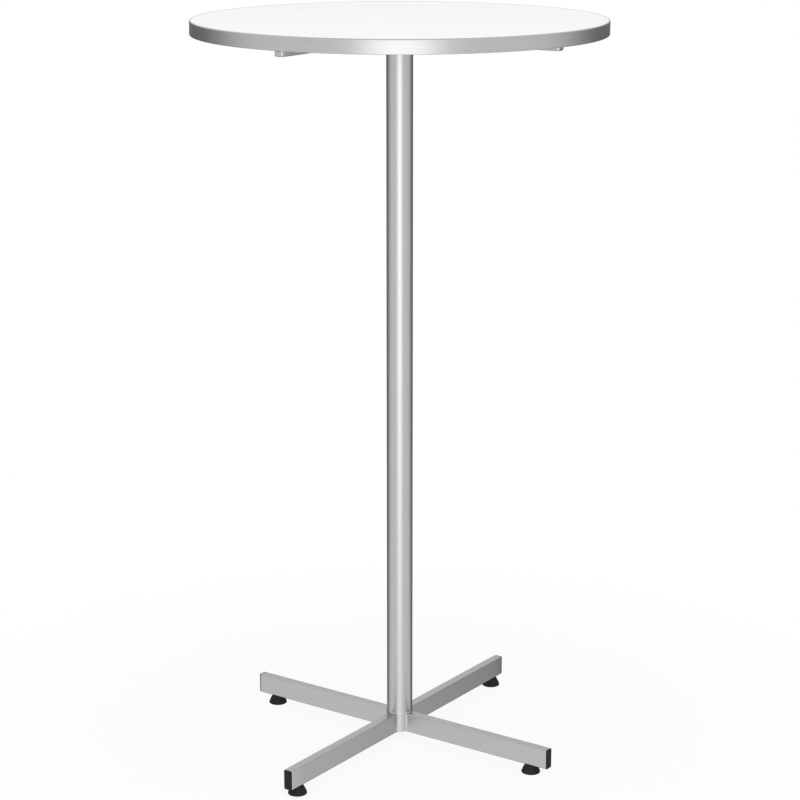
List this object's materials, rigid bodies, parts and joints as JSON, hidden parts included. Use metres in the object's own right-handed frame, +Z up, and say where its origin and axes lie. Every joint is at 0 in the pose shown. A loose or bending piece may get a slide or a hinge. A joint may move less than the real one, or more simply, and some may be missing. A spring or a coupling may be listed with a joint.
{
  "type": "pedestal table",
  "caption": "Bar-height pedestal table with a round laminated top, a round column, a floor cross of rectangular tubes and screw-adjusted levelling feet.",
  "frame": {"origin": "on the floor, under the column's axis: the bottom centre of the box", "axes": "+Z up along the column, the long bars of both crosses along Y and the short bars along X"},
  "size_m": [0.5999, 0.6, 1.1],
  "materials": {
    "white_laminate": "smooth white melamine laminate, satin",
    "backing_sheet": "plain white balancing sheet, matt",
    "chipboard": "raw particle board",
    "edge_aluminium": "brushed along the rim, satin",
    "silver_coat": "silver-grey metallic powder coat, satin",
    "bare_steel": "turned steel",
    "zinc_steel": "bright zinc plated",
    "grey_plastic": "moulded silver-grey polyethylene",
    "black_plastic": "moulded black polyethylene, fine grain"
  },
  "bodies": {
    "frame": {"top_core": "chipboard", "top_laminate": "white_laminate", "backing_laminate": "backing_sheet", "edge_band": "edge_aluminium", "top_screws": "zinc_steel", "top_hub": "silver_coat", "top_bolt": "zinc_steel", "column_tube": "silver_coat", "upper_insert": "bare_steel", "lower_insert": "bare_steel", "base_hub": "silver_coat", "base_bolt": "zinc_steel", "base_washer": "zinc_steel", "top_arm_right": "silver_coat", "top_plug_right": "grey_plastic", "base_arm_right": "silver_coat", "base_plug_right": "black_plastic", "foot_bush_right": "bare_steel", "top_arm_back": "silver_coat", "top_plug_back": "grey_plastic", "base_arm_back": "silver_coat", "base_plug_back": "black_plastic", "foot_bush_back": "bare_steel", "top_arm_left": "silver_coat", "top_plug_left": "grey_plastic", "base_arm_left": "silver_coat", "base_plug_left": "black_plastic", "foot_bush_left": "bare_steel", "top_arm_front": "silver_coat", "top_plug_front": "grey_plastic", "base_arm_front": "silver_coat", "base_plug_front": "black_plastic", "foot_bush_front": "bare_steel"},
    "stem_right": {"foot_stem_right": "zinc_steel"},
    "pad_right": {"foot_pad_right": "black_plastic"},
    "stem_back": {"foot_stem_back": "zinc_steel"},
    "pad_back": {"foot_pad_back": "black_plastic"},
    "stem_left": {"foot_stem_left": "zinc_steel"},
    "pad_left": {"foot_pad_left": "black_plastic"},
    "stem_front": {"foot_stem_front": "zinc_steel"},
    "pad_front": {"foot_pad_front": "black_plastic"}
  },
  "joints": [
    {"name": "foot_travel_right", "type": "slide", "parent": "frame", "child": "stem_right", "axis": [0, 0, -1], "range_m": [0, 0.01]},
    {"name": "foot_turn_right", "type": "hinge", "parent": "stem_right", "child": "pad_right", "pos_m": [0.2385, 0, 0], "axis": [0, 0, -1], "range_deg": [0, 2880]},
    {"name": "foot_travel_back", "type": "slide", "parent": "frame", "child": "stem_back", "axis": [0, 0, -1], "range_m": [0, 0.01]},
    {"name": "foot_turn_back", "type": "hinge", "parent": "stem_back", "child": "pad_back", "pos_m": [0, 0.26, 0], "axis": [0, 0, -1], "range_deg": [0, 2880]},
    {"name": "foot_travel_left", "type": "slide", "parent": "frame", "child": "stem_left", "axis": [0, 0, -1], "range_m": [0, 0.01]},
    {"name": "foot_turn_left", "type": "hinge", "parent": "stem_left", "child": "pad_left", "pos_m": [-0.2385, 0, 0], "axis": [0, 0, -1], "range_deg": [0, 2880]},
    {"name": "foot_travel_front", "type": "slide", "parent": "frame", "child": "stem_front", "axis": [0, 0, -1], "range_m": [0, 0.01]},
    {"name": "foot_turn_front", "type": "hinge", "parent": "stem_front", "child": "pad_front", "pos_m": [0, -0.26, 0], "axis": [0, 0, -1], "range_deg": [0, 2880]}
  ],
  "couplings": [
    {"joint": "foot_travel_right", "follows": "foot_turn_right", "m_per_rad": 0.00019894},
    {"joint": "foot_travel_back", "follows": "foot_turn_back", "m_per_rad": 0.00019894},
    {"joint": "foot_travel_left", "follows": "foot_turn_left", "m_per_rad": 0.00019894},
    {"joint": "foot_travel_front", "follows": "foot_turn_front", "m_per_rad": 0.00019894}
  ]
}
